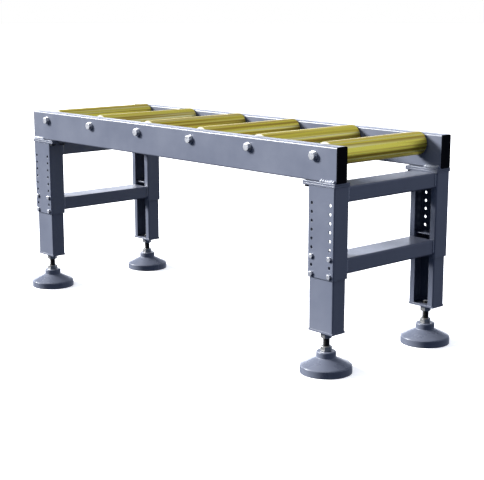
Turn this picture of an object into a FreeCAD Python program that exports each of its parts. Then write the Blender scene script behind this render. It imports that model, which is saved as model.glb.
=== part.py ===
import FreeCAD, Part
import math
import os
import re
import Sketcher

# Driving dimensions in millimetres. Counts are plain numbers.
SIZES = {
    # Deck: rails, and the rollers between them
    "deck_height": 650,  # floor to the top line of the rollers
    "frame_width": 490,  # over the outer faces of both rails
    "rail_length": 1500,
    "rail_depth": 100,
    "rail_width": 40,
    "rail_wall": 3,
    "rail_corner": 5,  # outer corner radius
    "plug_flange": 3,  # over the rail's end
    "plug_depth": 22,
    "plug_wall": 3,
    "plug_gap": 0.15,  # round a plug inside the rail
    "roller_count": 6,
    "roller_inset": 85,  # rail end to the first roller's axis
    "roller_diameter": 70,
    "roller_wall": 3,
    "roller_rise": 5,  # roller tops above the rail tops
    "roller_end_round": 2.5,
    "roller_end_gap": 3,  # roller end to the rail's inner face
    "bush_hub_depth": 30,
    "bush_hub_wall": 6,
    "bush_sleeve_depth": 20,
    "bush_sleeve_wall": 4,
    "bush_web": 6,
    "bush_dish": 4,  # web behind the outer face
    "press_gap": 0.05,  # bush in its tube, on the radius
    "running_gap": 0.05,  # bush or spacer on the axle, on the radius
    "spacer_diameter": 40,
    "axial_play": 0.25,  # bush face to spacer
    "axle_diameter": 30,
    "axle_bolt_diameter": 14,
    "axle_bolt_flats": 22,
    "axle_bolt_head": 8.8,
    "axle_bolt_grip": 28,  # thread length inside the axle
    "axle_hole_extra": 5,  # tapped hole past the bolt's tip
    "axle_washer_diameter": 28,
    "axle_washer_thickness": 2.5,
    "hole_play": 0.5,  # bolt in a plain hole, on the radius
    "thread_gap": 0.05,  # bolt in a threaded hole, on the radius
    "hex_face_share": 0.95,  # round face of a hexagon over its flats
    # Pairs of plates between the rails and the legs
    "plate_thickness": 6,
    "plate_length": 122,
    "plate_width": 62,
    "plate_edge_round": 1.2,
    "screw_diameter": 10,
    "screw_flats": 16,
    "screw_head": 6.4,
    "screw_inset": 11,  # screw axis from the plate's inner end
    "screw_spacing": 40,
    "screw_tip_gap": 1,  # screw tip below the rail
    # Outer legs: lipped channels with two columns of holes
    "leg_width": 100,
    "leg_depth": 59,
    "leg_length": 258,
    "leg_sheet": 3,
    "leg_bend": 1,  # inside radius of the folds
    "leg_lip": 20,
    "leg_inset": 1,  # leg behind the rail's end
    "leg_proud": 5,  # leg web in front of the rail's face
    "hole_spacing": 69,
    "hole_step": 25,  # between the holes of a column
    "hole_count": 9,
    "hole_edge": 10,  # last hole's axis to the channel's end
    # Inner legs: the same channel one size smaller
    "inner_lip": 19,
    "inner_tab": 44,  # fold at the top of the web, reaching to the lips
    "leg_gap": 0.9,  # all round between the two channels
    "clamp_steps": 2,  # hole steps between the two rows of bolts
    # Small bolts of the legs
    "small_bolt_diameter": 8,
    "small_bolt_flats": 13,
    "small_bolt_head": 5.3,
    "small_nut_height": 6.5,
    "small_bolt_tail": 3,  # bolt past its nut
    "sliding_gap": 0.1,  # bolt head off the outer leg
    # Cross bars between the front and rear legs
    "bar_width": 90,
    "bar_depth": 45,
    "bar_wall": 3,
    "bar_corner": 5,
    "lower_bar_rise": 11,  # lower bar above the outer leg's end
    # Levelling feet
    "foot_plate_height": 118,  # floor to the plate that closes the inner leg
    "foot_plate_thickness": 6,
    "foot_plate_margin": 0.5,  # plate past the inner leg, all round
    "stud_diameter": 20,
    "stud_nut_flats": 30,
    "stud_nut_height": 18,
    "turning_hex_height": 14,
    "stud_tail": 8,  # stud above the foot plate
    "pad_diameter": 150,
    "pad_rim": 23,
    "pad_rim_round": 2.5,
    "pad_shoulder": 44,  # height where the cone meets the collar
    "pad_height": 62,
    "collar_diameter": 57,
    "collar_chamfer": 2,
    "socket_depth": 30,
    "socket_gap": 0.2,  # stud in its socket, on the radius and below
    "seat_gap": 0.2,  # turning hex above the collar
}

# Heights above the floor
AXLE_Z = "(deck_height - roller_diameter / 2)"
RAIL_TOP = "(deck_height - roller_rise)"
RAIL_MID = f"({RAIL_TOP} - rail_depth / 2)"
RAIL_BOTTOM = f"({RAIL_TOP} - rail_depth)"
PLATE_JOINT = f"({RAIL_BOTTOM} - plate_thickness)"
LEG_TOP = f"({RAIL_BOTTOM} - 2 * plate_thickness)"
LEG_BOTTOM = f"({LEG_TOP} - leg_length)"
LOW_HOLE = f"({LEG_BOTTOM} + hole_edge)"
HIGH_CLAMP = f"({LOW_HOLE} + clamp_steps * hole_step)"
INNER_TOP = f"({HIGH_CLAMP} + hole_edge)"
INNER_BOTTOM = "(foot_plate_height + foot_plate_thickness)"
SOCKET_FLOOR = "(pad_height - socket_depth)"
STUD_BOTTOM = f"({SOCKET_FLOOR} + socket_gap)"
STUD_TOP = f"({INNER_BOTTOM} + stud_tail)"

# Places and sizes across the part
RAIL_Y = "((frame_width - rail_width) / 2)"
RAIL_INNER_Y = "(frame_width / 2 - rail_width)"
ROLLER_END_Y = f"({RAIL_INNER_Y} - roller_end_gap)"
ROLLER_PITCH = "((rail_length - 2 * roller_inset) / (roller_count - 1))"
PLATE_X = "((rail_length - plate_length) / 2)"
LEG_X = "(rail_length / 2 - leg_inset - leg_width / 2)"
LEG_Y = "(frame_width / 2 + leg_proud - leg_depth / 2)"
SCREW_X = "(rail_length / 2 - plate_length + screw_inset)"
INNER_WIDTH = "(leg_width - 2 * (leg_sheet + leg_gap))"
INNER_DEPTH = "(leg_depth - 2 * (leg_sheet + leg_gap))"
INNER_LENGTH = f"({INNER_TOP} - {INNER_BOTTOM})"
TUBE_BORE_RADIUS = "(roller_diameter / 2 - roller_wall)"
AXLE_BORE = "(axle_diameter + 2 * running_gap)"

# Each leg by its corner of the part: signs of its X and Y
CORNERS = {
    "front_left": (-1, -1),
    "front_right": (1, -1),
    "rear_left": (-1, 1),
    "rear_right": (1, 1),
}

TO_FRONT = FreeCAD.Rotation(FreeCAD.Vector(1, 0, 0), 90)
TO_REAR = FreeCAD.Rotation(FreeCAD.Vector(1, 0, 0), -90)
UPSIDE_DOWN = FreeCAD.Rotation(FreeCAD.Vector(1, 0, 0), 180)
UPRIGHT = FreeCAD.Rotation()
HALF_TURN = FreeCAD.Rotation(FreeCAD.Vector(0, 0, 1), 180)

doc = FreeCAD.newDocument("roller_conveyor")
sheet = doc.addObject("Spreadsheet::Sheet", "Sizes")
for row, (alias, number) in enumerate(SIZES.items(), start=1):
    sheet.set(f"A{row}", alias.replace("_", " "))
    sheet.set(f"B{row}", str(number))
    sheet.setAlias(f"B{row}", alias)
doc.recompute()

nodes = []


def cells(formula):
    """The formula with each size written as its cell of the sheet."""
    return re.sub(r"[a-z_]+", lambda word: f"Sizes.{word[0]}" if word[0] in SIZES else word[0], formula)


def value(formula):
    """The number that a formula gives now."""
    return float(sheet.evalExpression(cells(formula)))


def bind(thing, **formulas):
    """Bind properties of an object to formulas of the sheet's sizes."""
    for name, formula in formulas.items():
        thing.setExpression(name, cells(formula))


def place(thing, where, turn=UPRIGHT):
    """Turn an object and bind its position."""
    thing.Placement = FreeCAD.Placement(FreeCAD.Vector(), turn)
    for axis, formula in zip("xyz", where):
        thing.setExpression(f"Placement.Base.{axis}", cells(formula))


def new_body(label, where, turn=UPRIGHT, is_node=True):
    """An empty body at its place."""
    body = doc.addObject("PartDesign::Body", label)
    body.Label = label
    place(body, where, turn)
    if is_node:
        nodes.append(body)
    return body


def sketch_on(body, plane, height="0"):
    """A sketch on one of the body's own planes, raised along the plane's normal."""
    sketch = body.newObject("Sketcher::SketchObject", "outline")
    support = next(item for item in body.Origin.OriginFeatures if item.Role == plane)
    sketch.AttachmentSupport = [(support, "")]
    sketch.MapMode = "FlatFace"
    sketch.setExpression("AttachmentOffset.Base.z", cells(height))
    return sketch


def pin(sketch, geometry, vertex, x, y):
    """Hold a point of the sketch at two formulas from its origin."""
    for kind, formula in (("DistanceX", x), ("DistanceY", y)):
        rule = Sketcher.Constraint(kind, -1, 1, geometry, vertex, value(formula))
        number = sketch.addConstraint(rule)
        sketch.setExpression(f"Constraints[{number}]", cells(formula))


def draw_outline(sketch, corners):
    """A closed outline of straight sides."""
    points = [FreeCAD.Vector(value(x), value(y), 0) for x, y in corners]
    sides = [Part.LineSegment(a, b) for a, b in zip(points, points[1:] + points[:1])]
    first = sketch.GeometryCount
    sketch.addGeometry(sides)
    for side, (x, y) in enumerate(corners):
        pin(sketch, first + side, 1, x, y)
        following = first + (side + 1) % len(corners)
        sketch.addConstraint(Sketcher.Constraint("Coincident", first + side, 2, following, 1))


def draw_rectangle(sketch, width, depth, x="0", y="0"):
    """A rectangle about a centre."""
    left, right = f"({x}) - ({width}) / 2", f"({x}) + ({width}) / 2"
    low, high = f"({y}) - ({depth}) / 2", f"({y}) + ({depth}) / 2"
    draw_outline(sketch, [(left, low), (right, low), (right, high), (left, high)])


def draw_rounded(sketch, width, depth, radius):
    """A rectangle about the origin with round corners."""
    across, up = f"(({width}) / 2 - ({radius}))", f"(({depth}) / 2 - ({radius}))"
    signs = [(1, 1), (-1, 1), (-1, -1), (1, -1)]
    first = sketch.GeometryCount
    for quarter, (sx, sy) in enumerate(signs):
        centre = FreeCAD.Vector(sx * value(across), sy * value(up), 0)
        full = Part.Circle(centre, FreeCAD.Vector(0, 0, 1), value(radius))
        start = quarter * math.pi / 2
        sketch.addGeometry(Part.ArcOfCircle(full, start, start + math.pi / 2))
    for quarter, (sx, sy) in enumerate(signs):
        arc = first + quarter
        following = first + (quarter + 1) % 4
        side = sketch.addGeometry(Part.LineSegment(
            sketch.getPoint(arc, 2), sketch.getPoint(following, 1)))
        pin(sketch, arc, 3, f"{sx} * {across}", f"{sy} * {up}")
        size = sketch.addConstraint(Sketcher.Constraint("Radius", arc, value(radius)))
        sketch.setExpression(f"Constraints[{size}]", cells(radius))
        sketch.addConstraint(Sketcher.Constraint("Tangent", arc, 2, side, 1))
        sketch.addConstraint(Sketcher.Constraint("Tangent", side, 2, following, 1))


def draw_circle(sketch, diameter, x="0", y="0"):
    """A circle about a centre."""
    centre = FreeCAD.Vector(value(x), value(y), 0)
    circle = sketch.addGeometry(Part.Circle(centre, FreeCAD.Vector(0, 0, 1), value(diameter) / 2))
    pin(sketch, circle, 3, x, y)
    size = sketch.addConstraint(Sketcher.Constraint("Diameter", circle, value(diameter)))
    sketch.setExpression(f"Constraints[{size}]", cells(diameter))


def pad(body, sketch, length):
    """Raise a sketch into a solid along its normal."""
    feature = body.newObject("PartDesign::Pad", "pad")
    feature.Profile = sketch
    bind(feature, Length=length)
    doc.recompute()
    return feature


def cut(body, sketch, depth=None, away=False):
    """Cut a sketch into the body against its normal, or along it, to a depth or right through."""
    before = body.Shape.Volume
    feature = body.newObject("PartDesign::Pocket", "cut")
    feature.Profile = sketch
    feature.Reversed = away
    if depth is None:
        feature.Type = "ThroughAll"
    else:
        bind(feature, Length=depth)
    doc.recompute()
    if body.Shape.Volume >= before:
        raise RuntimeError(f"{body.Label}: a cut removes nothing")
    return feature


def repeat(body, feature, sketch, axis, count, step):
    """Repeat a feature in a row along an axis of its sketch."""
    row_of = body.newObject("PartDesign::LinearPattern", "row")
    row_of.Originals = [feature]
    row_of.Direction = (sketch, [axis])
    bind(row_of, Length=f"({count} - 1) * ({step})", Occurrences=count)
    body.Tip = row_of
    doc.recompute()


def revolve(body, corners):
    """Turn an outline of radius and height about the body's Z axis."""
    sketch = sketch_on(body, "XZ_Plane")
    draw_outline(sketch, corners)
    feature = body.newObject("PartDesign::Revolution", "turned")
    feature.Profile = sketch
    feature.ReferenceAxis = (sketch, ["V_Axis"])
    feature.Angle = 360
    doc.recompute()
    return feature


def round_edges(body, size, chosen):
    """Round the edges that a rule chooses."""
    base = body.Tip
    edges = [f"Edge{number}" for number, edge in enumerate(base.Shape.Edges, start=1) if chosen(edge)]
    feature = body.newObject("PartDesign::Fillet", "round")
    feature.Base = (base, edges)
    bind(feature, Radius=size)
    doc.recompute()


def round_rims(body, radius, size):
    """Round the circular edges of one radius."""
    round_edges(body, size, lambda edge: isinstance(edge.Curve, Part.Circle)
                and abs(edge.Curve.Radius - value(radius)) < 1e-6)


def round_outline(body, size):
    """Round the straight edges of both faces of a plate."""
    round_edges(body, size, lambda edge: isinstance(edge.Curve, Part.Line)
                and abs(edge.tangentAt(edge.FirstParameter).z) < 1e-6)


def cylinder(name, diameter, height, low="0"):
    """A round bar along Z."""
    bar = doc.addObject("Part::Cylinder", name)
    bind(bar, Radius=f"({diameter}) / 2", Height=height)
    place(bar, ("0", "0", low))
    return bar


def boolean(kind, name, base, tool):
    """A cut, a fusion or a common of two solids."""
    result = doc.addObject(f"Part::{kind}", name)
    result.Base = base
    result.Tool = tool
    return result


def hexagon(name, flats, height, both_ends=False):
    """A hexagon along Z, with its corners chamfered at the top or at both ends."""
    block = doc.addObject("Part::Prism", f"{name}_hexagon")
    block.Polygon = 6
    bind(block, Circumradius=f"({flats}) / sqrt(3)", Height=height)
    face_radius = f"(hex_face_share * ({flats}) / 2)"
    wide_radius = f"({face_radius} + ({height}) * sqrt(3))"
    ends = [(wide_radius, face_radius)]
    if both_ends:
        ends.append((face_radius, wide_radius))
    for low_radius, high_radius in ends:
        chamfer = doc.addObject("Part::Cone", f"{name}_chamfer")
        bind(chamfer, Radius1=low_radius, Radius2=high_radius, Height=height)
        block = boolean("Common", f"{name}_block", block, chamfer)
    return block


def bolt(name, diameter, flats, head, length):
    """A hex bolt along Z: its head above zero and its shank below."""
    shank = cylinder(f"{name}_shank", diameter, length, f"-({length})")
    return boolean("Fuse", name, hexagon(name, flats, head), shank)


def nut(name, diameter, flats, height):
    """A hex nut along Z, standing on zero."""
    hole = cylinder(f"{name}_hole", f"({diameter}) + 2 * thread_gap", height)
    return boolean("Cut", name, hexagon(name, flats, height, both_ends=True), hole)


def copies(label, placed):
    """One node of several loose pieces: each a piece with its position and turn."""
    links = []
    for piece, where, turn in placed:
        link = doc.addObject("App::Link", f"{label}_copy")
        link.LinkedObject = piece
        place(link, where, turn)
        links.append(link)
    group = doc.addObject("Part::Compound", label)
    group.Label = label
    group.Links = links
    nodes.append(group)


def box_section(body, plane, width, depth, wall, corner, length):
    """A straight length of rounded box section, centred along its axis."""
    sketch = sketch_on(body, plane, f"-({length}) / 2")
    draw_rounded(sketch, width, depth, corner)
    draw_rounded(sketch, f"({width}) - 2 * {wall}", f"({depth}) - 2 * {wall}", f"{corner} - {wall}")
    pad(body, sketch, length)


def lipped_channel(body, width, depth, lip, length):
    """An upright channel on zero: web towards -Y, folded lips round the open side at +Y."""
    section = sketch_on(body, "XY_Plane")
    draw_rounded(section, width, depth, "leg_bend + leg_sheet")
    draw_rounded(section, f"({width}) - 2 * leg_sheet", f"({depth}) - 2 * leg_sheet", "leg_bend")
    pad(body, section, length)
    mouth = sketch_on(body, "XZ_Plane", f"-({depth}) / 2")
    draw_rectangle(mouth, f"({width}) - 2 * {lip}", length, y=f"({length}) / 2")
    cut(body, mouth, "2 * leg_sheet", away=True)


def web_holes(body, depth, low, count, step):
    """Two columns of bolt holes up the web of a channel."""
    sketch = sketch_on(body, "XZ_Plane", f"({depth}) / 2")
    for side in (-1, 1):
        draw_circle(sketch, "small_bolt_diameter + 2 * hole_play", f"{side} * hole_spacing / 2", low)
    hole = cut(body, sketch, "2 * leg_sheet")
    repeat(body, hole, sketch, "V_Axis", count, step)


def roller_x(number):
    """The place of a roller along the rails, counted from one at the left."""
    return f"({number} - (roller_count + 1) / 2) * {ROLLER_PITCH}"


def make_rail(label, side):
    """A side rail with a bolt hole through it at each roller."""
    body = new_body(label, ("0", f"{side} * {RAIL_Y}", RAIL_MID))
    box_section(body, "YZ_Plane", "rail_width", "rail_depth", "rail_wall", "rail_corner", "rail_length")
    sketch = sketch_on(body, "XZ_Plane", "rail_width")
    draw_circle(sketch, "axle_bolt_diameter + 2 * hole_play", roller_x(1), f"{AXLE_Z} - {RAIL_MID}")
    repeat(body, cut(body, sketch), sketch, "H_Axis", "roller_count", ROLLER_PITCH)


def make_rail_plugs():
    """A hollow plug for each rail end, its flange on the rail's end."""
    plug = new_body("rail_end_plug", ("0", "0", "0"), is_node=False)
    inner_width, inner_depth = "(rail_width - 2 * rail_wall)", "(rail_depth - 2 * rail_wall)"
    stem = sketch_on(plug, "YZ_Plane", "-plug_depth")
    draw_rounded(stem, f"{inner_width} - 2 * plug_gap", f"{inner_depth} - 2 * plug_gap",
                 "rail_corner - rail_wall")
    pad(plug, stem, "plug_depth")
    flange = sketch_on(plug, "YZ_Plane")
    draw_rounded(flange, "rail_width", "rail_depth", "rail_corner")
    pad(plug, flange, "plug_flange")
    hollow = sketch_on(plug, "YZ_Plane", "-plug_depth")
    draw_rectangle(hollow, f"{inner_width} - 2 * (plug_gap + plug_wall)",
                   f"{inner_depth} - 2 * (plug_gap + plug_wall)")
    cut(plug, hollow, "plug_depth", away=True)
    copies("rail_end_plugs", [
        (plug, (f"{sx} * rail_length / 2", f"{sy} * {RAIL_Y}", RAIL_MID),
         UPRIGHT if sx > 0 else HALF_TURN)
        for sx, sy in CORNERS.values()])


def plate_with_holes(name, hole_diameter):
    """A joint plate on zero, with its screw holes towards the middle of the part at -X."""
    plate = new_body(name, ("0", "0", "0"), is_node=False)
    sketch = sketch_on(plate, "XY_Plane")
    draw_rectangle(sketch, "plate_length", "plate_width")
    for side in (-1, 1):
        draw_circle(sketch, hole_diameter, "screw_inset - plate_length / 2", f"{side} * screw_spacing / 2")
    pad(plate, sketch, "plate_thickness")
    round_outline(plate, "plate_edge_round")
    return plate


def make_plates():
    """The plates under the rails, those on the legs and the screws that join them."""
    upper = plate_with_holes("rail_plate", "screw_diameter + 2 * thread_gap")
    lower = plate_with_holes("leg_top_plate", "screw_diameter + 2 * hole_play")
    for label, plate, low in (("rail_plates", upper, PLATE_JOINT), ("leg_top_plates", lower, LEG_TOP)):
        copies(label, [
            (plate, (f"{sx} * {PLATE_X}", f"{sy} * {LEG_Y}", low), UPRIGHT if sx > 0 else HALF_TURN)
            for sx, sy in CORNERS.values()])
    screw = bolt("plate_screw", "screw_diameter", "screw_flats", "screw_head",
                 "2 * plate_thickness - screw_tip_gap")
    copies("plate_screws", [
        (screw, (f"{sx} * {SCREW_X}", f"{sy} * {LEG_Y} + {side} * screw_spacing / 2", LEG_TOP), UPSIDE_DOWN)
        for sx, sy in CORNERS.values() for side in (-1, 1)])


def make_roller(number):
    """A tube with round ends and a bearing bush pressed in each of them."""
    where = (roller_x(number), "0", AXLE_Z)
    tube = new_body(f"roller_tube_{number}", where)
    sketch = sketch_on(tube, "XZ_Plane", f"-{ROLLER_END_Y}")
    draw_circle(sketch, "roller_diameter")
    draw_circle(sketch, f"2 * {TUBE_BORE_RADIUS}")
    pad(tube, sketch, f"2 * {ROLLER_END_Y}")
    round_rims(tube, "roller_diameter / 2", "roller_end_round")
    copies(f"roller_bushes_{number}", [
        (bush, (where[0], f"{side} * {ROLLER_END_Y}", AXLE_Z), TO_FRONT if side < 0 else TO_REAR)
        for side in (-1, 1)])


def make_bush():
    """A dished bearing bush: sleeve, web and hub, its outer face on zero and the rest below."""
    body = new_body("roller_bush", ("0", "0", "0"), is_node=False)
    bore, hub = "axle_diameter / 2 + running_gap", "axle_diameter / 2 + running_gap + bush_hub_wall"
    outer = f"{TUBE_BORE_RADIUS} - press_gap"
    sleeve = f"{outer} - bush_sleeve_wall"
    web_back = "-(bush_dish + bush_web)"
    revolve(body, [
        (bore, "0"), (hub, "0"), (hub, "-bush_dish"), (sleeve, "-bush_dish"), (sleeve, "0"), (outer, "0"),
        (outer, "-bush_sleeve_depth"), (sleeve, "-bush_sleeve_depth"), (sleeve, web_back), (hub, web_back),
        (hub, "-bush_hub_depth"), (bore, "-bush_hub_depth")])
    return body


def make_axles(numbers):
    """Fixed axles tapped at both ends, their bolts with washers, and the spacers beside the rails."""
    axle = new_body("roller_axle", ("0", "0", "0"), is_node=False)
    sketch = sketch_on(axle, "XZ_Plane", f"-{RAIL_INNER_Y}")
    draw_circle(sketch, "axle_diameter")
    pad(axle, sketch, f"2 * {RAIL_INNER_Y}")
    for side in (-1, 1):
        tapped = sketch_on(axle, "XZ_Plane", f"{side} * {RAIL_INNER_Y}")
        draw_circle(tapped, "axle_bolt_diameter + 2 * thread_gap")
        cut(axle, tapped, "axle_bolt_grip + axle_hole_extra", away=side < 0)
    copies("roller_axles", [(axle, (roller_x(n), "0", AXLE_Z), UPRIGHT) for n in numbers])
    washer_hole = cylinder("axle_washer_hole", "axle_bolt_diameter + 2 * hole_play", "axle_washer_thickness")
    washer_disc = cylinder("axle_washer_disc", "axle_washer_diameter", "axle_washer_thickness")
    washer = boolean("Cut", "axle_washer", washer_disc, washer_hole)
    fastener = bolt("axle_bolt", "axle_bolt_diameter", "axle_bolt_flats", "axle_bolt_head",
                    "axle_washer_thickness + rail_width + axle_bolt_grip")
    spacer_length = "(roller_end_gap - axial_play)"
    spacer_hole = cylinder("axle_spacer_hole", AXLE_BORE, spacer_length)
    spacer_ring = cylinder("axle_spacer_ring", "spacer_diameter", spacer_length)
    spacer = boolean("Cut", "axle_spacer", spacer_ring, spacer_hole)
    seats = (
        ("axle_washers", washer, "(frame_width / 2)"),
        ("axle_bolts", fastener, "(frame_width / 2 + axle_washer_thickness)"),
        ("axle_spacers", spacer, f"({RAIL_INNER_Y} - {spacer_length})"),
    )
    for label, piece, seat in seats:
        copies(label, [
            (piece, (roller_x(n), f"{side} * {seat}", AXLE_Z), TO_FRONT if side < 0 else TO_REAR)
            for n in numbers for side in (-1, 1)])


def make_crossbars():
    """An upper and a lower bar between the lips of the legs at each end."""
    heights = {
        "upper": f"({LEG_TOP} - bar_depth / 2)",
        "lower": f"({LEG_BOTTOM} + lower_bar_rise + bar_depth / 2)",
    }
    for end, side in (("left", -1), ("right", 1)):
        for level, height in heights.items():
            bar = new_body(f"crossbar_{end}_{level}", (f"{side} * {LEG_X}", "0", height))
            box_section(bar, "XZ_Plane", "bar_width", "bar_depth", "bar_wall", "bar_corner",
                        f"(2 * ({LEG_Y} - leg_depth / 2))")


def make_leg(corner, sx, sy):
    """One telescopic leg at a corner: both channels, the bolts, and the foot plate with its nut."""
    x, y = f"{sx} * {LEG_X}", f"{sy} * {LEG_Y}"
    facing = UPRIGHT if sy < 0 else HALF_TURN
    outer = new_body(f"leg_outer_{corner}", (x, y, LEG_BOTTOM), facing)
    lipped_channel(outer, "leg_width", "leg_depth", "leg_lip", "leg_length")
    web_holes(outer, "leg_depth", "hole_edge", "hole_count", "hole_step")

    inner = new_body(f"leg_inner_{corner}", (x, y, INNER_BOTTOM), facing)
    lipped_channel(inner, INNER_WIDTH, INNER_DEPTH, "inner_lip", INNER_LENGTH)
    web_holes(inner, INNER_DEPTH, f"{LOW_HOLE} - {INNER_BOTTOM}", "2", "clamp_steps * hole_step")
    tab = sketch_on(inner, "XY_Plane", f"{INNER_LENGTH} - leg_sheet")
    draw_rectangle(tab, f"{INNER_WIDTH} - 2 * (leg_sheet + leg_bend)", "leg_sheet + inner_tab",
                   y=f"(leg_sheet + inner_tab - {INNER_DEPTH}) / 2")
    pad(inner, tab, "leg_sheet")

    plate = new_body(f"leg_foot_plate_{corner}", (x, y, "foot_plate_height"))
    sketch = sketch_on(plate, "XY_Plane")
    draw_rectangle(sketch, f"{INNER_WIDTH} + 2 * foot_plate_margin", f"{INNER_DEPTH} + 2 * foot_plate_margin")
    draw_circle(sketch, "stud_diameter + 2 * hole_play")
    pad(plate, sketch, "foot_plate_thickness")

    outward = TO_FRONT if sy < 0 else TO_REAR
    head_y = f"{sy} * ({LEG_Y} + leg_depth / 2 + sliding_gap)"
    nut_y = f"{sy} * ({LEG_Y} + {INNER_DEPTH} / 2 - leg_sheet - small_nut_height)"
    spots = [(f"{x} + {side} * hole_spacing / 2", height)
             for side in (-1, 1) for height in (LOW_HOLE, HIGH_CLAMP)]
    copies(f"leg_bolts_{corner}",
           [(clamp_bolt, (across, head_y, height), outward) for across, height in spots]
           + [(clamp_nut, (across, nut_y, height), outward) for across, height in spots])
    copies(f"foot_nut_{corner}", [(stud_nut, (x, y, "foot_plate_height - stud_nut_height"), UPRIGHT)])


def make_foot(corner, sx, sy):
    """A levelling foot at a corner: the cast pad, the stud and its turning hex."""
    x, y = f"{sx} * {LEG_X}", f"{sy} * {LEG_Y}"
    pad_body = new_body(f"foot_pad_{corner}", (x, y, "0"))
    rim, collar, bore = "pad_diameter / 2", "collar_diameter / 2", "stud_diameter / 2 + socket_gap"
    revolve(pad_body, [
        ("0", "0"), (rim, "0"), (rim, "pad_rim - pad_rim_round"), (f"{rim} - pad_rim_round", "pad_rim"),
        (collar, "pad_shoulder"), (collar, "pad_height - collar_chamfer"),
        (f"{collar} - collar_chamfer", "pad_height"), (bore, "pad_height"), (bore, SOCKET_FLOOR),
        ("0", SOCKET_FLOOR)])
    stud = doc.addObject("Part::Cylinder", f"foot_stud_{corner}")
    stud.Label = f"foot_stud_{corner}"
    bind(stud, Radius="stud_diameter / 2", Height=f"{STUD_TOP} - {STUD_BOTTOM}")
    place(stud, (x, y, STUD_BOTTOM))
    nodes.append(stud)
    copies(f"foot_turning_hex_{corner}", [(turning_hex, (x, y, "pad_height + seat_gap"), UPRIGHT)])


make_rail("rail_front", -1)
make_rail("rail_rear", 1)
make_rail_plugs()
make_plates()
roller_numbers = range(1, int(value("roller_count")) + 1)
make_axles(roller_numbers)
bush = make_bush()
for roller_number in roller_numbers:
    make_roller(roller_number)
make_crossbars()
clamp_bolt = bolt("clamp_bolt", "small_bolt_diameter", "small_bolt_flats", "small_bolt_head",
                  "sliding_gap + 2 * leg_sheet + leg_gap + small_nut_height + small_bolt_tail")
clamp_nut = nut("clamp_nut", "small_bolt_diameter", "small_bolt_flats", "small_nut_height")
stud_nut = nut("stud_nut", "stud_diameter", "stud_nut_flats", "stud_nut_height")
turning_hex = nut("turning_hex", "stud_diameter", "stud_nut_flats", "turning_hex_height")
for leg_corner, (sign_x, sign_y) in CORNERS.items():
    make_leg(leg_corner, sign_x, sign_y)
    make_foot(leg_corner, sign_x, sign_y)
doc.recompute()

for item in doc.Objects:
    if "Invalid" in item.State or "Error" in item.State:
        raise RuntimeError(f"{item.Label} failed: {item.State}")
for node in nodes:
    if node.Shape.isNull() or not node.Shape.isValid():
        raise RuntimeError(f"{node.Label} has no valid shape")

os.makedirs("parts", exist_ok=True)
for node in nodes:
    node.Shape.exportStep(f"parts/{node.Label}.step")
print(len(nodes), "nodes written")
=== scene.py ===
import math
import random

import bmesh
import bpy
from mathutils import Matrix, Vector


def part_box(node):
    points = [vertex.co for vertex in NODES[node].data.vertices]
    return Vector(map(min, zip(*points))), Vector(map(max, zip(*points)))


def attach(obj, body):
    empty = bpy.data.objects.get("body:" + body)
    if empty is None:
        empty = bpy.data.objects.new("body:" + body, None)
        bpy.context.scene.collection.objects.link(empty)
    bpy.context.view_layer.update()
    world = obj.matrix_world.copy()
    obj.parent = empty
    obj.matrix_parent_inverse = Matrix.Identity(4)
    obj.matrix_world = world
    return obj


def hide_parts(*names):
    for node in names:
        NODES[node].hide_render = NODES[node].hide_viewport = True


bl_info = {
    "name": "Roller Conveyor",
    "version": (1, 0, 0),
    "blender": (4, 5, 0),
    "location": "View3D > Sidebar > Conveyor",
    "description": "Finishes, threads, welds and studio of a free-standing roller conveyor",
    "category": "Object",
}

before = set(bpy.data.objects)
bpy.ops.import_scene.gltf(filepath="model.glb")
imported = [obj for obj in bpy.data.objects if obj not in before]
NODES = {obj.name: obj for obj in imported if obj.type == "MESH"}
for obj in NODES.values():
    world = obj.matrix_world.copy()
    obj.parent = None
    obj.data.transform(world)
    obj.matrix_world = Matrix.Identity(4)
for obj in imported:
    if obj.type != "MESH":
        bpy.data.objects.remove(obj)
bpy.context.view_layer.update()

CORNERS = ("front_left", "front_right", "rear_left", "rear_right")
ROLLER_COUNT = 6
FLAT_UPWARD = 0.9  # upward share of a face's direction from which it counts as level

# Thread of the studs
THREAD_SIDES = 28  # faces round a stud
# Points of the profile: the share of the pitch, and 0 at a crest or 1 at a root
THREAD_PROFILE = ((0.0, 0), (0.12, 0), (0.46, 1), (0.60, 1))

# Form of a weld bead
BEAD_SIDES = 6  # faces round the outside of a bead
RIPPLE_STEPS = 5  # rings of points in each ripple
BEAD_ROOT = 0.0004  # how far the root of a bead sinks into its corner
BEAD_RELIEF = 0.16  # share of a bead's height that the ripples take
BEAD_END = 0.6  # length of a bead's rounded end, in bead heights
RIPPLE_LEAN = 0.35  # how far a ripple leans forward, as a share of its length
RIPPLE_SWELL = (0.4, 1.1)  # bulge of a ripple at its valleys, and its growth to the crest
RIPPLE_DRAW = 0.1  # unevenness along a ripple
LUMP_SIZES = (0.8, 1.1)  # smallest and largest ripple of a bead
LEAST_END = 0.08  # keeps a bead's very end from closing to a point

# Places of the welds
WELD_SETBACK = 0.001  # end of a rail weld to the rail's end
WELD_SINK = 0.002  # root of a rail weld inside the rail's rounded corner
WELD_EXTRA = 0.0018  # width of a rail weld, from its sunken root, beyond the plate's ledge
BAR_WELD_MARGIN = 0.004  # end of a bar weld to the bar's corner
WELD_SEED = 7

# The studio's walls and ground, as they light the object
FRONT_WALL = (0.10, 0.145, 0.26, 1.0)
REAR_WALL_LOW = (0.62, 0.70, 0.92, 1.0)
REAR_WALL_HIGH = (0.42, 0.44, 0.50, 1.0)
FRONT_GROUND = (0.04, 0.05, 0.08, 1.0)
REAR_GROUND = (0.06, 0.06, 0.07, 1.0)
HORIZON_GLOW = (4.0, 4.15, 4.6, 1.0)
WHITE = (1.0, 1.0, 1.0, 1.0)

FLOOR_RADIUS = 60.0
SENSOR_WIDTH = 36.0


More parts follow.
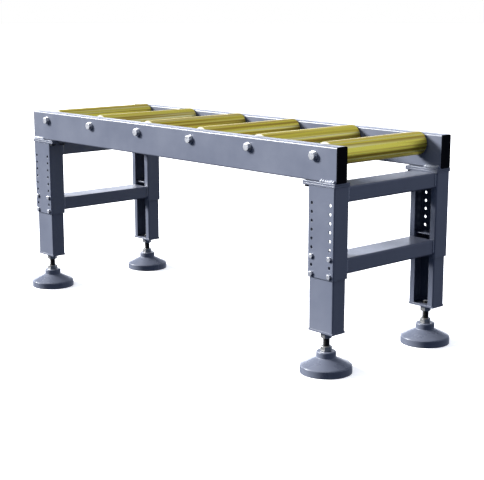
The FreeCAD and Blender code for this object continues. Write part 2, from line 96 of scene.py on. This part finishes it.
class ConveyorFinish(bpy.types.PropertyGroup):
    """Colours of the conveyor's finishes."""

    paint: bpy.props.FloatVectorProperty(
        name="Paint", description="Slate coat of the frame, legs and feet",
        subtype="COLOR", min=0.0, max=1.0, default=(0.086, 0.096, 0.128))
    paint_light: bpy.props.FloatVectorProperty(
        name="Paint, thin", description="Slate coat where it is thin or rubbed",
        subtype="COLOR", min=0.0, max=1.0, default=(0.110, 0.121, 0.155))
    paint_worn: bpy.props.FloatVectorProperty(
        name="Paint, worn edges", description="Primer that shows through along worn edges",
        subtype="COLOR", min=0.0, max=1.0, default=(0.34, 0.36, 0.41))
    gold: bpy.props.FloatVectorProperty(
        name="Roller gold", description="Yellow passivated zinc of the rollers",
        subtype="COLOR", min=0.0, max=1.0, default=(0.88, 0.745, 0.08))
    gold_pale: bpy.props.FloatVectorProperty(
        name="Roller pale streaks", description="Thin passivation on the rollers",
        subtype="COLOR", min=0.0, max=1.0, default=(0.95, 0.85, 0.35))
    gold_brown: bpy.props.FloatVectorProperty(
        name="Roller brown streaks", description="Thick passivation on the rollers",
        subtype="COLOR", min=0.0, max=1.0, default=(0.48, 0.305, 0.02))
    # Pale bare zinc of the tube ends, which is also a painted glint of the key light on them
    tube_end_and_glint: bpy.props.FloatVectorProperty(
        name="Roller ends", description="Bare zinc on the cut and rounded ends of the tubes",
        subtype="COLOR", min=0.0, max=1.0, default=(0.48, 0.465, 0.34))
    # On the sawn stud ends this zinc is also a painted highlight
    zinc: bpy.props.FloatVectorProperty(
        name="Bright zinc", description="Bolts and washers of the rails, sawn ends of the studs",
        subtype="COLOR", min=0.0, max=1.0, default=(0.72, 0.72, 0.72))
    zinc_grey: bpy.props.FloatVectorProperty(
        name="Grey zinc", description="Bolts and nuts of the legs",
        subtype="COLOR", min=0.0, max=1.0, default=(0.58, 0.59, 0.62))
    dull_steel: bpy.props.FloatVectorProperty(
        name="Dull steel", description="Nuts of the feet, axles and spacers",
        subtype="COLOR", min=0.0, max=1.0, default=(0.30, 0.30, 0.29))
    steel_edge: bpy.props.FloatVectorProperty(
        name="Steel, rubbed edges", description="Bright edges of the bolts and nuts",
        subtype="COLOR", min=0.0, max=1.0, default=(0.86, 0.87, 0.88))
    plug: bpy.props.FloatVectorProperty(
        name="Plug plastic", description="Plugs in the rail ends",
        subtype="COLOR", min=0.0, max=1.0, default=(0.0015, 0.0016, 0.003))
    bush: bpy.props.FloatVectorProperty(
        name="Bush plastic", description="Bushes in the roller ends",
        subtype="COLOR", min=0.0, max=1.0, default=(0.62, 0.59, 0.45))
    stud: bpy.props.FloatVectorProperty(
        name="Stud black", description="Black oxide on the threaded studs",
        subtype="COLOR", min=0.0, max=1.0, default=(0.006, 0.006, 0.007))
    stud_thin: bpy.props.FloatVectorProperty(
        name="Stud black, thin", description="Black oxide where it is thin",
        subtype="COLOR", min=0.0, max=1.0, default=(0.05, 0.048, 0.045))


class ConveyorDetail(bpy.types.PropertyGroup):
    """Sizes of the threads and welds."""

    thread_pitch: bpy.props.FloatProperty(
        name="Thread pitch", description="Rise of the stud's thread in one turn",
        unit="LENGTH", default=0.0025, min=0.0005)
    thread_depth: bpy.props.FloatProperty(
        name="Thread depth", description="Crest to root of the stud's thread",
        unit="LENGTH", default=0.0015, min=0.0001)
    weld_length: bpy.props.FloatProperty(
        name="Weld length", description="Length of each weld between a rail and its plate",
        unit="LENGTH", default=0.0625, min=0.01)
    weld_height: bpy.props.FloatProperty(
        name="Weld height", description="How far a weld climbs the upright face",
        unit="LENGTH", default=0.0102, min=0.001)
    weld_ripple: bpy.props.FloatProperty(
        name="Weld ripple", description="Spacing of the ripples along a weld",
        unit="LENGTH", default=0.0075, min=0.0005)
    bar_weld_width: bpy.props.FloatProperty(
        name="Bar weld width", description="How far a cross bar's weld reaches past the bar's side",
        unit="LENGTH", default=0.003, min=0.001)
    bar_weld_height: bpy.props.FloatProperty(
        name="Bar weld height", description="How far a cross bar's weld runs along the bar",
        unit="LENGTH", default=0.005, min=0.001)


class ConveyorStudio(bpy.types.PropertyGroup):
    """Camera, floor and light."""

    camera_place: bpy.props.FloatVectorProperty(
        name="Camera", description="Where the camera stands",
        subtype="TRANSLATION", unit="LENGTH", default=(2.84983, -2.49655, 1.01776))
    azimuth: bpy.props.FloatProperty(
        name="Azimuth", description="Turn of the view from the front towards the right end",
        unit="ROTATION", default=math.radians(47.741))
    elevation: bpy.props.FloatProperty(
        name="Elevation", description="Angle that the camera looks down",
        unit="ROTATION", default=math.radians(11.530))
    lens: bpy.props.FloatProperty(
        name="Lens", description="Focal length of the camera",
        unit="CAMERA", default=85.46, min=1.0)
    floor: bpy.props.FloatVectorProperty(
        name="Floor", description="Colour of the plain floor",
        subtype="COLOR", min=0.0, max=1.0, default=(0.80, 0.80, 0.81))
    floor_glow: bpy.props.FloatProperty(
        name="Floor glow", description="Light of the floor itself, which keeps its shadows pale",
        default=0.55, min=0.0)
    key_strength: bpy.props.FloatProperty(
        name="Key light", description="Strength of the light from the front left",
        default=11.9, min=0.0)
    key_way: bpy.props.FloatVectorProperty(
        name="Key direction", description="The way that the key light shines",
        subtype="DIRECTION", default=(0.73, 0.54, -0.42))
    key_spread: bpy.props.FloatProperty(
        name="Key spread", description="Width of the key light, which softens its shadows",
        unit="ROTATION", default=math.radians(15))
    top_strength: bpy.props.FloatProperty(
        name="Top light", description="Strength of the wide light overhead",
        default=2.1, min=0.0)
    top_way: bpy.props.FloatVectorProperty(
        name="Top direction", description="The way that the top light shines",
        subtype="DIRECTION", default=(0.25, 0.35, -1.0))
    top_spread: bpy.props.FloatProperty(
        name="Top spread", description="Width of the top light",
        unit="ROTATION", default=math.radians(75))


class NodeBuilder:
    """Short calls that add nodes to a tree and join them."""

    def __init__(self, tree):
        self.tree = tree

    def put(self, socket, given):
        """Join a socket to another, or set its value."""
        if isinstance(given, bpy.types.NodeSocket):
            self.tree.links.new(given, socket)
        else:
            socket.default_value = given

    def node(self, kind, sockets, **settings):
        """Add a node and fill its sockets."""
        node = self.tree.nodes.new(f"ShaderNode{kind}")
        for name, setting in settings.items():
            setattr(node, name, setting)
        for name, given in sockets.items():
            self.put(node.inputs[name], given)
        return node

    def spread(self, given, low, high, to_low=0.0, to_high=1.0):
        """Stretch a range of values to another, held at its ends."""
        return self.node("MapRange", {
            "Value": given, "From Min": low, "From Max": high, "To Min": to_low, "To Max": to_high,
        }).outputs["Result"]

    def mix(self, share, first, second):
        """One colour changing to another."""
        node = self.node("Mix", {}, data_type="RGBA")
        for socket, given in ((0, share), (6, first), (7, second)):
            self.put(node.inputs[socket], given)
        return node.outputs[2]

    def combine(self, operation, first, second):
        """Two numbers put together."""
        node = self.node("Math", {}, operation=operation)
        self.put(node.inputs[0], first)
        self.put(node.inputs[1], second)
        return node.outputs[0]

    def dot(self, first, second):
        """How far two directions agree."""
        node = self.node("VectorMath", {}, operation="DOT_PRODUCT")
        self.put(node.inputs[0], first)
        self.put(node.inputs[1], second)
        return node.outputs["Value"]


class Finish(NodeBuilder):
    """A material in the making."""

    def __init__(self, name):
        self.material = bpy.data.materials.new(name)
        self.material.use_nodes = True
        super().__init__(self.material.node_tree)
        self.shader = self.tree.nodes["Principled BSDF"]

    def set(self, **sockets):
        """Set the shader's own sockets, with spaces in their names written as underscores."""
        for name, given in sockets.items():
            self.put(self.shader.inputs[name.replace("_", " ")], given)

    def place(self, kind="Object", scale=(1, 1, 1), offset=(0, 0, 0)):
        """Texture coordinates, scaled and shifted."""
        source = self.node("TexCoord", {}).outputs[kind]
        placed = self.node("Mapping", {"Vector": source, "Scale": scale, "Location": offset})
        return placed.outputs["Vector"]

    def noise(self, place, scale, detail=3.0, roughness=0.55, distortion=0.0):
        """Noise from nought to one."""
        return self.node("TexNoise", {
            "Vector": place, "Scale": scale, "Detail": detail, "Roughness": roughness,
            "Distortion": distortion}).outputs["Fac"]

    def soft_edges(self, radius):
        """Normals rounded over the edges, and how much they differ from the flat faces."""
        rounded = self.node("Bevel", {"Radius": radius}, samples=6).outputs["Normal"]
        flat = self.node("NewGeometry", {}).outputs["Normal"]
        return rounded, self.combine("SUBTRACT", 1.0, self.dot(rounded, flat))

    def bump(self, height, distance, strength=1.0, normal=None):
        """Fine relief from a height."""
        node = self.node("Bump", {"Height": height, "Strength": strength, "Distance": distance})
        if normal is not None:
            self.put(node.inputs["Normal"], normal)
        return node.outputs["Normal"]


def opaque(color):
    """A colour property as a shader value."""
    return (*color, 1.0)


def slate_coat(name, peel, peel_depth, dullness, soft=0.0014, thin=0.0, wear=0.42):
    """Slate powder coat: cloudy shade, orange peel, rubbed patches and worn edges."""
    colors = bpy.context.scene.conveyor_finish
    finish = Finish(name)
    place = finish.place()
    clouds = finish.noise(place, scale=7.0, detail=4.0, roughness=0.6)
    grain = finish.noise(place, scale=peel, detail=2.0, roughness=0.5)
    scuffs = finish.noise(finish.place(scale=(1.0, 1.0, 0.25)), scale=90.0, detail=5.0, roughness=0.65,
                          distortion=0.6)
    worn = opaque(colors.paint_worn)
    coat = finish.mix(finish.spread(clouds, 0.3, 0.75), opaque(colors.paint), opaque(colors.paint_light))
    coat = finish.mix(finish.spread(scuffs, 0.62, 0.8, 0.0, 0.35), coat, opaque(colors.paint_light))
    edges, corner = finish.soft_edges(soft)
    chips = finish.combine("MULTIPLY", finish.spread(corner, 0.03, 0.2),
                           finish.spread(scuffs, wear, wear + 0.24))
    coat = finish.mix(chips, coat, worn)
    # Lighter towards the primer where the coat is thin; on the welds this is also a painted highlight
    if thin:
        coat = finish.mix(finish.spread(clouds, 0.2, 0.8, 0.7 * thin, thin), coat, worn)
    dull = finish.combine("ADD", finish.spread(clouds, 0.3, 0.75, dullness, dullness + 0.1),
                          finish.spread(scuffs, 0.55, 0.85, 0.0, 0.12))
    finish.set(Base_Color=coat, Roughness=dull, Specular_IOR_Level=0.32,
               Normal=finish.bump(grain, peel_depth, strength=0.6, normal=edges))
    return finish.material


def roller_plating(number):
    """Yellow passivated zinc with lengthwise drawing streaks, different on each roller, and pale bare-zinc
    ends whose colour is also a painted glint.
    """
    colors = bpy.context.scene.conveyor_finish
    finish = Finish(f"roller_plating_{number}")
    shift = (number * 3.7, number * 1.3, number * 2.1)
    gold = opaque(colors.gold)

    def streaks(across, along, **settings):
        """Noise drawn out along the tube, with so many waves across and along it."""
        place = finish.place("Generated", (across, along, across), shift)
        return finish.noise(place, scale=1.0, **settings)

    broad = streaks(6.5, 0.25, detail=2.0, roughness=0.5, distortion=0.3)
    fine = streaks(11.0, 0.3, detail=3.0, roughness=0.6, distortion=0.2)
    hair = streaks(160.0, 2.5, detail=2.0, roughness=0.5)
    blotch = streaks(2.2, 6.0, detail=3.0, roughness=0.6)
    plate = finish.mix(finish.spread(broad, 0.47, 0.64), gold, opaque(colors.gold_pale))
    plate = finish.mix(finish.spread(fine, 0.46, 0.58), plate, opaque(colors.gold_brown))
    plate = finish.mix(finish.spread(blotch, 0.6, 0.8, 0.0, 0.4), plate, gold)
    # Ends facing along the tube: pale bare zinc that is also a painted glint, made less metallic and
    # rougher so that it shows bright in diffuse light
    facing = finish.dot(finish.node("TexCoord", {}).outputs["Normal"], (0.0, 1.0, 0.0))
    ends = finish.spread(finish.combine("MULTIPLY", facing, facing), 0.05, 0.2)
    plate = finish.mix(ends, plate, opaque(colors.tube_end_and_glint))
    dull = finish.combine("ADD", finish.spread(fine, 0.3, 0.7, 0.22, 0.4),
                          finish.spread(hair, 0.3, 0.7, 0.0, 0.08))
    dull = finish.combine("ADD", dull, finish.spread(ends, 0.0, 1.0, 0.0, 0.35))
    finish.set(Base_Color=plate, Metallic=finish.spread(ends, 0.0, 1.0, 0.85, 0.3), Roughness=dull,
               Specular_Tint=gold, Coat_Weight=0.5, Coat_Roughness=0.28,
               Normal=finish.bump(hair, 0.00012, strength=0.35))
    return finish.material


def plated_steel(name, color, smooth, rough, metal):
    """Zinc or bright steel: faint clouds, turning marks and softened edges."""
    colors = bpy.context.scene.conveyor_finish
    finish = Finish(name)
    place = finish.place()
    clouds = finish.noise(place, scale=120.0, detail=4.0, roughness=0.6)
    marks = finish.noise(place, scale=900.0, detail=2.0, roughness=0.5)
    darker = tuple(0.62 * part for part in color)
    plate = finish.mix(finish.spread(clouds, 0.35, 0.7), opaque(color), opaque(darker))
    edges, corner = finish.soft_edges(0.0006)
    plate = finish.mix(finish.spread(corner, 0.04, 0.25, 0.0, 0.5), plate, opaque(colors.steel_edge))
    finish.set(Base_Color=plate, Metallic=metal, Roughness=finish.spread(marks, 0.3, 0.7, smooth, rough),
               Normal=finish.bump(marks, 0.00008, strength=0.5, normal=edges))
    return finish.material


def moulded_plastic(name, color, dullness, shine):
    """Moulded plastic: spark-eroded grain and faint flow marks."""
    finish = Finish(name)
    grain = finish.noise(finish.place(), scale=1400.0, detail=2.0, roughness=0.6)
    flow = finish.noise(finish.place(scale=(1.0, 0.4, 1.0)), scale=45.0, detail=4.0, roughness=0.6,
                        distortion=1.2)
    paler = tuple(min(1.0, part * 1.25 + 0.003) for part in color)
    body = finish.mix(finish.spread(flow, 0.4, 0.75), opaque(color), opaque(paler))
    edges, _ = finish.soft_edges(0.0008)
    finish.set(Base_Color=body, Roughness=finish.spread(flow, 0.3, 0.7, dullness, dullness + 0.15),
               Specular_IOR_Level=shine, Normal=finish.bump(grain, 0.00015, strength=0.6, normal=edges))
    return finish.material


def black_oxide(name):
    """Blackened steel thread, rubbed bright on its crests."""
    colors = bpy.context.scene.conveyor_finish
    finish = Finish(name)
    place = finish.place()
    clouds = finish.noise(place, scale=160.0, detail=4.0, roughness=0.6)
    rub = finish.noise(place, scale=420.0, detail=3.0, roughness=0.6)
    edges, corner = finish.soft_edges(0.0003)
    bright = finish.combine("MULTIPLY", finish.spread(corner, 0.05, 0.3), finish.spread(rub, 0.45, 0.65))
    oxide = finish.mix(finish.spread(clouds, 0.35, 0.7), opaque(colors.stud), opaque(colors.stud_thin))
    oxide = finish.mix(bright, oxide, opaque(colors.dull_steel))
    finish.set(Base_Color=oxide, Metallic=0.6, Roughness=finish.spread(clouds, 0.3, 0.7, 0.32, 0.5),
               Normal=finish.bump(rub, 0.00006, strength=0.5, normal=edges))
    return finish.material


def dress(names, material):
    """Give pieces of the frame a finish."""
    for name in names:
        if name not in NODES:
            raise RuntimeError(f"The frame has no piece named {name}")
        mesh = NODES[name].data
        mesh.materials.clear()
        mesh.materials.append(material)


def new_piece(mesh, material, body, smooth=True):
    """A new piece of the object, named like its mesh, on the body that carries it."""
    piece = bpy.data.objects.new(mesh.name, mesh)
    bpy.context.scene.collection.objects.link(piece)
    mesh.materials.append(material)
    mesh.polygons.foreach_set("use_smooth", [smooth] * len(mesh.polygons))
    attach(piece, body)
    return piece


def closed_mesh(name, grid):
    """A mesh from a closed grid of faces, all turned outward."""
    bmesh.ops.recalc_face_normals(grid, faces=grid.faces)
    mesh = bpy.data.meshes.new(name)
    grid.to_mesh(mesh)
    grid.free()
    return mesh


def thread_mesh(name, low, high, pitch, depth):
    """A round bar from its box with a helical thread and chamfered ends."""
    radius = (high.x - low.x) / 2
    centre_x, centre_y = (low.x + high.x) / 2, (low.y + high.y) / 2

    def point(r, side, z):
        """A point of the bar at a radius, a side's angle and a height."""
        angle = 2 * math.pi * side / THREAD_SIDES
        return centre_x + r * math.cos(angle), centre_y + r * math.sin(angle), z

    turns = int((high.z - low.z) / pitch) + 2
    grid = bmesh.new()
    rows = []
    for turn in range(-1, turns):
        for share, at_root in THREAD_PROFILE:
            row = []
            for side in range(THREAD_SIDES + 1):
                height = low.z + (turn + share + side / THREAD_SIDES) * pitch
                z = min(max(height, low.z), high.z)
                end = min(z - low.z, high.z - z)
                r = radius - at_root * depth
                if end < depth:
                    r = min(r, radius - depth + end)
                row.append(grid.verts.new(point(r, side, z)))
            rows.append(row)
    for lower, upper in zip(rows, rows[1:]):
        for side in range(THREAD_SIDES):
            grid.faces.new((lower[side], lower[side + 1], upper[side + 1], upper[side]))
    for z in (low.z, high.z):
        cap = [grid.verts.new(point(radius - depth, side, z)) for side in range(THREAD_SIDES)]
        grid.faces.new(cap if z == high.z else cap[::-1])
    bmesh.ops.remove_doubles(grid, verts=grid.verts, dist=1e-5)
    bmesh.ops.dissolve_degenerate(grid, edges=grid.edges, dist=1e-6)
    return closed_mesh(name, grid)


def add_bead(grid, start, end, across, up, width, height, ripple, draw):
    """A weld bead along an inside corner, between the directions across and up."""
    start, end, across, up = Vector(start), Vector(end), Vector(across), Vector(up)
    way = (end - start).normalized()
    run = (end - start).length
    steps = max(8, round(run / ripple * RIPPLE_STEPS))
    lumps = [draw.uniform(*LUMP_SIZES) for _ in range(int(run / ripple) + 2)]
    valley, growth = RIPPLE_SWELL
    rings = []
    for step in range(steps + 1):
        root = start.lerp(end, step / steps)
        along = run * step / steps
        phase = (along / ripple) % 1.0
        wave = math.sin(math.pi * phase)
        current = int(along / ripple)
        lump = lumps[current] + phase * (lumps[current + 1] - lumps[current])
        swell = valley + growth * wave + draw.uniform(-RIPPLE_DRAW, RIPPLE_DRAW)
        to_end = max(0.0, min(along, run - along))
        taper = min(1.0, math.sqrt(to_end / (BEAD_END * height) + LEAST_END))
        lean = RIPPLE_LEAN * ripple * wave
        ring = [root - BEAD_ROOT * (across + up)]
        for side in range(BEAD_SIDES + 1):
            angle = math.pi / 2 * side / BEAD_SIDES
            bulge = math.sin(2 * angle)
            reach = across * (width * math.cos(angle)) + up * (height * math.sin(angle))
            size = taper * lump * (1 - BEAD_RELIEF + BEAD_RELIEF * swell * bulge)
            ring.append(root + reach * size + way * lean * bulge * taper)
        rings.append([grid.verts.new(point) for point in ring])
    count = len(rings[0])
    for first, second in zip(rings, rings[1:]):
        for side in range(count):
            following = (side + 1) % count
            grid.faces.new((first[side], first[following], second[following], second[side]))
    grid.faces.new(rings[0][::-1])
    grid.faces.new(rings[-1])


class CONVEYOR_OT_paint_frame(bpy.types.Operator):
    """Coat the rails, plates, legs and cross bars with slate powder coat"""

    bl_idname = "conveyor.paint_frame"
    bl_label = "Paint Frame"

    def execute(self, context):
        coat = slate_coat("slate_coat", peel=620.0, peel_depth=0.0001, dullness=0.28)
        bars = [f"crossbar_{end}_{level}" for end in ("left", "right") for level in ("upper", "lower")]
        legs = [f"{part}_{corner}" for corner in CORNERS
                for part in ("leg_outer", "leg_inner", "leg_foot_plate")]
        dress(["rail_front", "rail_rear", "rail_plates", "leg_top_plates", *bars, *legs], coat)
        return {"FINISHED"}


class CONVEYOR_OT_paint_feet(bpy.types.Operator):
    """Coat the cast feet, whose surface is rougher than the steel's"""

    bl_idname = "conveyor.paint_feet"
    bl_label = "Paint Feet"

    def execute(self, context):
        coat = slate_coat("slate_coat_on_casting", peel=260.0, peel_depth=0.0004, dullness=0.24,
                          soft=0.003, thin=0.035, wear=0.36)
        dress([f"foot_pad_{corner}" for corner in CORNERS], coat)
        return {"FINISHED"}


class CONVEYOR_OT_finish_rollers(bpy.types.Operator):
    """Plate the roller tubes and finish the bushes in their ends"""

    bl_idname = "conveyor.finish_rollers"
    bl_label = "Finish Rollers"

    def execute(self, context):
        colors = context.scene.conveyor_finish
        plastic = moulded_plastic("bush_plastic", colors.bush, dullness=0.42, shine=0.5)
        for number in range(1, ROLLER_COUNT + 1):
            dress([f"roller_tube_{number}"], roller_plating(number))
            dress([f"roller_bushes_{number}"], plastic)
        return {"FINISHED"}


class CONVEYOR_OT_finish_fasteners(bpy.types.Operator):
    """Finish the bolts, washers, screws, nuts, axles and spacers"""

    bl_idname = "conveyor.finish_fasteners"
    bl_label = "Finish Fasteners"

    def execute(self, context):
        colors = context.scene.conveyor_finish
        zinc = plated_steel("bright_zinc", colors.zinc, smooth=0.26, rough=0.42, metal=0.9)
        grey = plated_steel("grey_zinc", colors.zinc_grey, smooth=0.3, rough=0.46, metal=0.9)
        dull = plated_steel("dull_steel", colors.dull_steel, smooth=0.26, rough=0.4, metal=0.6)
        foot_nuts = [f"{part}_{corner}" for corner in CORNERS for part in ("foot_nut", "foot_turning_hex")]
        dress(["axle_bolts", "axle_washers"], zinc)
        dress([f"leg_bolts_{corner}" for corner in CORNERS], grey)
        dress(["roller_axles", "axle_spacers", *foot_nuts], dull)
        # Black oxide on the plate screws, which is also painted shade for the shadow that the plate casts
        # on them
        dress(["plate_screws"], black_oxide("screw_oxide_and_painted_shade"))
        return {"FINISHED"}


class CONVEYOR_OT_finish_plugs(bpy.types.Operator):
    """Finish the plugs in the rail ends"""

    bl_idname = "conveyor.finish_plugs"
    bl_label = "Finish Plugs"

    def execute(self, context):
        colors = context.scene.conveyor_finish
        plastic = moulded_plastic("plug_plastic", colors.plug, dullness=0.5, shine=0.02)
        dress(["rail_end_plugs"], plastic)
        return {"FINISHED"}


class CONVEYOR_OT_thread_studs(bpy.types.Operator):
    """Replace the plain studs of the feet by threaded ones"""

    bl_idname = "conveyor.thread_studs"
    bl_label = "Thread Studs"

    def execute(self, context):
        detail = context.scene.conveyor_detail
        oxide = black_oxide("stud_oxide")
        colors = context.scene.conveyor_finish
        # Bare zinc on the sawn stud tops, which is also a painted highlight there, with little metal so
        # that it shows bright in diffuse light
        sawn = plated_steel("stud_sawn_end_and_highlight", colors.zinc, smooth=0.3, rough=0.5, metal=0.3)
        for corner in CORNERS:
            node = f"foot_stud_{corner}"
            low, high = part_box(node)
            mesh = thread_mesh(f"threaded_stud_{corner}", low, high, detail.thread_pitch,
                               detail.thread_depth)
            stud = new_piece(mesh, oxide, f"stud_{corner}", smooth=False)
            mesh.materials.append(sawn)
            # Faces pointing up are the sawn ends, which take the pale zinc and its painted highlight
            for face in mesh.polygons:
                if face.normal.z > FLAT_UPWARD:
                    face.material_index = 1
            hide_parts(node)
        return {"FINISHED"}


class CONVEYOR_OT_lay_welds(bpy.types.Operator):
    """Lay the weld beads of the rails' plates and of the cross bars"""

    bl_idname = "conveyor.lay_welds"
    bl_label = "Lay Welds"

    def execute(self, context):
        detail = context.scene.conveyor_detail
        # The weld coat is lightened towards the primer: partly a thinner coat, partly a painted highlight
        # for the light that the rippled beads catch
        coat = slate_coat("slate_coat_on_welds_with_painted_highlight", peel=420.0, peel_depth=0.0002, dullness=0.3, thin=0.6)
        draw = random.Random(WELD_SEED)
        for end, sx in (("left", -1), ("right", 1)):
            mesh = self.rail_welds(f"rail_welds_{end}", sx, detail, draw)
            new_piece(mesh, coat, "frame")
        for end in ("left", "right"):
            for level in ("upper", "lower"):
                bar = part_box(f"crossbar_{end}_{level}")
                mesh = self.bar_welds(f"crossbar_welds_{end}_{level}", bar, detail, draw)
                new_piece(mesh, coat, "frame")
        return {"FINISHED"}

    def rail_welds(self, name, sx, detail, draw):
        """Beads on both sides of both rails, above the plates at one end."""
        rail_low, rail_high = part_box("rail_front")
        _, plate_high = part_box("rail_plates")
        ledge = plate_high.y - abs(rail_low.y)
        outer_x = sx * (rail_high.x - WELD_SETBACK)
        inner_x = outer_x - sx * detail.weld_length
        grid = bmesh.new()
        for sy in (-1, 1):
            for face_y, away in ((sy * abs(rail_low.y), sy), (sy * abs(rail_high.y), -sy)):
                y = face_y - away * WELD_SINK
                add_bead(grid, (inner_x, y, rail_low.z), (outer_x, y, rail_low.z), (0, away, 0), (0, 0, 1),
                         ledge + WELD_EXTRA, detail.weld_height, detail.weld_ripple, draw)
        return closed_mesh(name, grid)

    def bar_welds(self, name, box, detail, draw):
        """Upright beads at both ends of a cross bar."""
        low, high = box
        bottom, top = low.z + BAR_WELD_MARGIN, high.z - BAR_WELD_MARGIN
        grid = bmesh.new()
        for sy, y in ((1, low.y), (-1, high.y)):
            for sx, x in ((-1, low.x), (1, high.x)):
                add_bead(grid, (x, y, bottom), (x, y, top), (sx, 0, 0), (0, sy, 0),
                         detail.bar_weld_width, detail.bar_weld_height, detail.weld_ripple, draw)
        return closed_mesh(name, grid)


def far_light(name, strength, spread, towards):
    """A distant soft light shining one way."""
    lamp = bpy.data.lights.new(name, "SUN")
    lamp.energy = strength
    lamp.angle = spread
    holder = bpy.data.objects.new(name, lamp)
    bpy.context.scene.collection.objects.link(holder)
    holder.rotation_euler = Vector(towards).to_track_quat("-Z", "Y").to_euler()
    return holder


def link_to_tubes(light, state):
    """Let a light fall on the roller tubes only, or on everything but them."""
    receivers = bpy.data.collections.new(f"{light.name}_receivers")
    light.light_linking.receiver_collection = receivers
    for number in range(1, ROLLER_COUNT + 1):
        receivers.objects.link(NODES[f"roller_tube_{number}"])
    for receiver in receivers.collection_objects:
        receiver.light_linking.link_state = state


class CONVEYOR_OT_build_studio(bpy.types.Operator):
    """Set up the floor, the light and the camera"""

    bl_idname = "conveyor.build_studio"
    bl_label = "Build Studio"

    def execute(self, context):
        scene = context.scene
        studio = scene.conveyor_studio
        self.lay_floor(studio)
        self.light(scene, studio)
        self.aim_camera(scene, studio)
        scene.view_settings.view_transform = "Standard"
        return {"FINISHED"}

    def lay_floor(self, studio):
        """A plain pale floor that casts no light on the object."""
        grid = bmesh.new()
        bmesh.ops.create_circle(grid, cap_ends=True, radius=FLOOR_RADIUS, segments=96)
        mesh = bpy.data.meshes.new("floor")
        grid.to_mesh(mesh)
        grid.free()
        finish = Finish("floor")
        speck = finish.noise(finish.place(), scale=60.0, detail=3.0, roughness=0.6)
        darker = tuple(0.97 * part for part in studio.floor)
        finish.set(Base_Color=finish.mix(speck, opaque(studio.floor), opaque(darker)), Roughness=0.9)
        finish.set(Specular_IOR_Level=0.1, Emission_Color=WHITE, Emission_Strength=studio.floor_glow)
        mesh.materials.append(finish.material)
        floor = bpy.data.objects.new("floor", mesh)
        bpy.context.scene.collection.objects.link(floor)
        floor.visible_diffuse = floor.visible_glossy = False

    def light(self, scene, studio):
        """Distant lights, and walls that light the object and look white to the camera."""
        key = studio.key_strength, studio.key_spread, studio.key_way
        link_to_tubes(far_light("key_light", *key), "EXCLUDE")
        # The tubes would mirror the key light as glare, so they have one that they don't mirror
        tube_key = far_light("tube_key_light", *key)
        tube_key.visible_glossy = False
        link_to_tubes(tube_key, "INCLUDE")
        far_light("top_light", studio.top_strength, studio.top_spread, studio.top_way)
        world = bpy.data.worlds.new("studio_walls")
        scene.world = world
        world.use_nodes = True
        walls = NodeBuilder(world.node_tree)
        backdrop = world.node_tree.nodes["Background"]
        way = walls.node("TexCoord", {}).outputs["Generated"]
        height = walls.dot(way, (0.0, 0.0, 1.0))
        back = walls.spread(walls.dot(way, (0.1, 0.99, 0.0)), 0.2, 0.65)
        rear_wall = walls.mix(walls.spread(height, 0.35, 0.72), REAR_WALL_LOW, REAR_WALL_HIGH)
        shade = walls.mix(back, FRONT_WALL, rear_wall)
        ground = walls.mix(back, FRONT_GROUND, REAR_GROUND)
        shade = walls.mix(walls.spread(height, -0.45, -0.15), ground, shade)
        # A bright strip above the horizon at the left rear, which the level faces mirror
        band = walls.combine("MULTIPLY", walls.spread(height, -0.1, 0.0),
                             walls.spread(walls.dot(way, (0.3, 0.0, 1.0)), -0.08, 0.01, 1.0, 0.0))
        glow = walls.combine("MULTIPLY", walls.spread(walls.dot(way, (-0.74, 0.67, 0.0)), 0.2, 0.8), band)
        walls.put(backdrop.inputs["Color"], walls.mix(glow, shade, HORIZON_GLOW))
        seen = walls.node("Background", {"Color": WHITE})
        choice = walls.node("MixShader", {})
        walls.put(choice.inputs[0], walls.node("LightPath", {}).outputs["Is Camera Ray"])
        walls.put(choice.inputs[1], backdrop.outputs[0])
        walls.put(choice.inputs[2], seen.outputs[0])
        walls.put(world.node_tree.nodes["World Output"].inputs["Surface"], choice.outputs[0])

    def aim_camera(self, scene, studio):
        """The camera at its place, turned and tilted, with the lens centred."""
        lens = bpy.data.cameras.new("photo_camera")
        lens.lens = studio.lens
        lens.sensor_width = SENSOR_WIDTH
        lens.clip_start, lens.clip_end = 0.05, 200.0
        camera = bpy.data.objects.new("photo_camera", lens)
        scene.collection.objects.link(camera)
        camera.location = studio.camera_place
        camera.rotation_euler = (math.pi / 2 - studio.elevation, 0.0, studio.azimuth)
        scene.camera = camera


class CONVEYOR_PT_builder(bpy.types.Panel):
    """The steps that dress the conveyor"""

    bl_label = "Roller Conveyor"
    bl_space_type = "VIEW_3D"
    bl_region_type = "UI"
    bl_category = "Conveyor"

    def draw(self, context):
        for step in STEPS:
            self.layout.operator(step.bl_idname)


GROUPS = {
    "conveyor_finish": ConveyorFinish,
    "conveyor_detail": ConveyorDetail,
    "conveyor_studio": ConveyorStudio,
}
STEPS = (
    CONVEYOR_OT_paint_frame,
    CONVEYOR_OT_paint_feet,
    CONVEYOR_OT_finish_rollers,
    CONVEYOR_OT_finish_fasteners,
    CONVEYOR_OT_finish_plugs,
    CONVEYOR_OT_thread_studs,
    CONVEYOR_OT_lay_welds,
    CONVEYOR_OT_build_studio,
)
CLASSES = (*GROUPS.values(), *STEPS, CONVEYOR_PT_builder)


def register():
    for item in CLASSES:
        bpy.utils.register_class(item)
    for name, group in GROUPS.items():
        setattr(bpy.types.Scene, name, bpy.props.PointerProperty(type=group))


def unregister():
    for name in GROUPS:
        delattr(bpy.types.Scene, name)
    for item in reversed(CLASSES):
        bpy.utils.unregister_class(item)


def main():
    register()
    bpy.ops.conveyor.paint_frame()
    bpy.ops.conveyor.paint_feet()
    bpy.ops.conveyor.finish_rollers()
    bpy.ops.conveyor.finish_fasteners()
    bpy.ops.conveyor.finish_plugs()
    bpy.ops.conveyor.thread_studs()
    bpy.ops.conveyor.lay_welds()
    bpy.ops.conveyor.build_studio()


if __name__ == "__main__":
    main()
